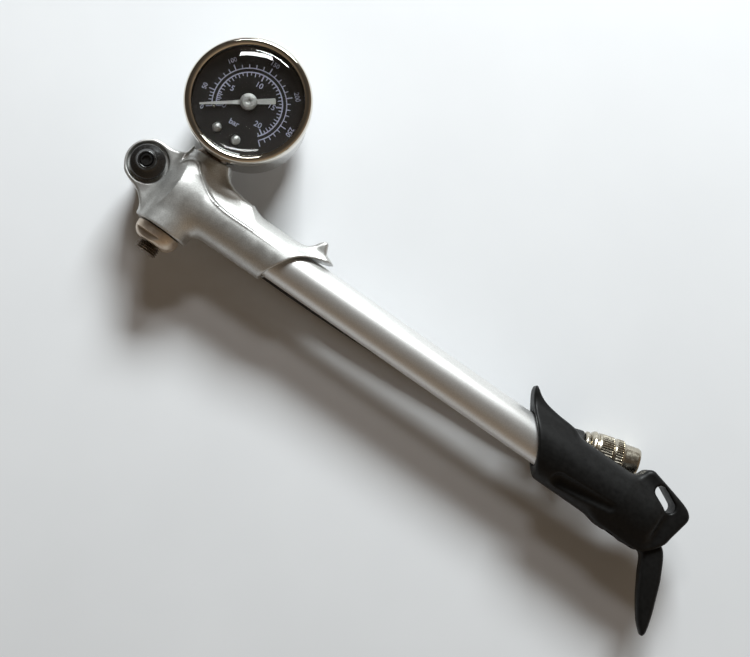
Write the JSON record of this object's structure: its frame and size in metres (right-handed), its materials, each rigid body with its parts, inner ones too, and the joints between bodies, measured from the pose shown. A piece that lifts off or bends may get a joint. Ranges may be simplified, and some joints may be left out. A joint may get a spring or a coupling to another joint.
{
  "type": "suspension pump",
  "caption": "Slim hand pump for air suspension: barrel, cast head with round dial gauge and bleed button, swivelling hose, and a moulded handle with a folding lever.",
  "frame": {"origin": "on the flat hexagonal head of the swivel bolt, at the lowest plane of the pump, straight below the line of the barrel's axis; the bolt's own axis, which the bleed button and the hose swivel share, is at X 1.2 mm, Y 1.6 mm", "axes": "+X along the barrel from the head to the handle (the way the handle pulls out), +Y from the barrel to the gauge, +Z the way the gauge faces"},
  "size_m": [0.2241, 0.0876, 0.0325],
  "materials": {
    "cast_silver": "sandblasted die casting with a satin silver coat",
    "anodised_silver": "satin silver anodised tube",
    "chrome": "polished chrome plate",
    "nickel": "bright nickel plate on brass",
    "dark_nickel": "dark bronze-toned plate",
    "steel": "satin steel",
    "brass": "plain machined brass",
    "black_nylon": "fine moulded texture",
    "black_gloss": "glossy moulding",
    "black_rubber": "smooth rubber",
    "dial_black": "matte black print with pale blue scales",
    "pointer_white": "painted off-white",
    "clear_glass": "clear, slightly domed"
  },
  "bodies": {
    "pump_body": {"head_casting": "cast_silver", "valve_plug": "nickel", "parking_stud": "dark_nickel", "plug_seal": "black_rubber", "check_valve_seat": "brass", "check_valve_ball": "steel", "check_valve_spring": "steel", "barrel_washer": "black_rubber", "barrel_tube": "anodised_silver", "barrel_end_cap": "black_nylon", "rod_wiper": "black_rubber", "bleed_stem_seal": "black_rubber", "bleed_spring": "steel", "gauge_can": "steel", "gauge_bezel": "chrome", "gauge_lens": "clear_glass", "gauge_dial": "dial_black", "dial_screw_1": "chrome", "dial_screw_2": "chrome", "pointer_stop_pin": "chrome", "gauge_socket": "chrome", "bourdon_tube": "brass", "movement_plate": "brass", "swivel_bolt": "nickel"},
    "plunger": {"handle": "black_nylon", "piston_rod": "steel", "piston": "brass", "piston_ring": "black_rubber", "stop_buffer": "black_rubber", "rod_pin": "steel", "lever_pin": "steel"},
    "lever": {"folding_lever": "black_nylon"},
    "bleed_valve": {"bleed_button": "black_gloss", "button_screw": "dark_nickel", "bleed_stem": "brass"},
    "gauge_sector": {"sector_gear": "brass"},
    "gauge_pointer": {"pointer_pinion": "brass", "pointer": "pointer_white"},
    "hose_assembly": {"hose_swivel": "nickel", "swivel_o_ring_upper": "black_rubber", "swivel_o_ring_lower": "black_rubber", "hose_ferrule": "nickel", "hose": "black_rubber", "hose_boot": "black_rubber", "connector_core": "nickel", "connector_seal": "black_rubber", "valve_depressor": "brass"},
    "connector_nut": {"connector_nut": "nickel"}
  },
  "joints": [
    {"name": "plunger_slide", "type": "slide", "parent": "pump_body", "child": "plunger", "axis": [1, 0, 0], "range_m": [0, 0.11]},
    {"name": "lever_fold", "type": "hinge", "parent": "plunger", "child": "lever", "pos_m": [0.194, -0.008, 0.0175], "axis": [0, 0, 1], "range_deg": [-115, 0]},
    {"name": "bleed_press", "type": "slide", "parent": "pump_body", "child": "bleed_valve", "axis": [0, 0, -1], "range_m": [0, 0.001], "stiffness_N_per_m": 600, "springref_m": -0.002, "deforming": ["bleed_spring"]},
    {"name": "sector_turn", "type": "hinge", "parent": "pump_body", "child": "gauge_sector", "pos_m": [0.0171, 0.0253, 0.0213], "axis": [0, 0, 1], "range_deg": [0, 43], "stiffness_Nm_per_rad": 0.0005, "springref_deg": -11.46},
    {"name": "pointer_turn", "type": "hinge", "parent": "pump_body", "child": "gauge_pointer", "pos_m": [0.0171, 0.0349, 0.028], "axis": [0, 0, 1], "range_deg": [-258, 0]},
    {"name": "hose_swivel", "type": "hinge", "parent": "pump_body", "child": "hose_assembly", "pos_m": [0.0012, 0.0016, 0.005], "axis": [0, 0, 1], "range_deg": [0, 330]},
    {"name": "connector_spin", "type": "hinge", "parent": "hose_assembly", "child": "connector_nut", "pos_m": [0.178, 0.0109, 0.0063], "axis": [0.9588, 0.284, 0], "continuous": true}
  ],
  "couplings": [
    {"joint": "pointer_turn", "follows": "sector_turn", "ratio": -6}
  ]
}
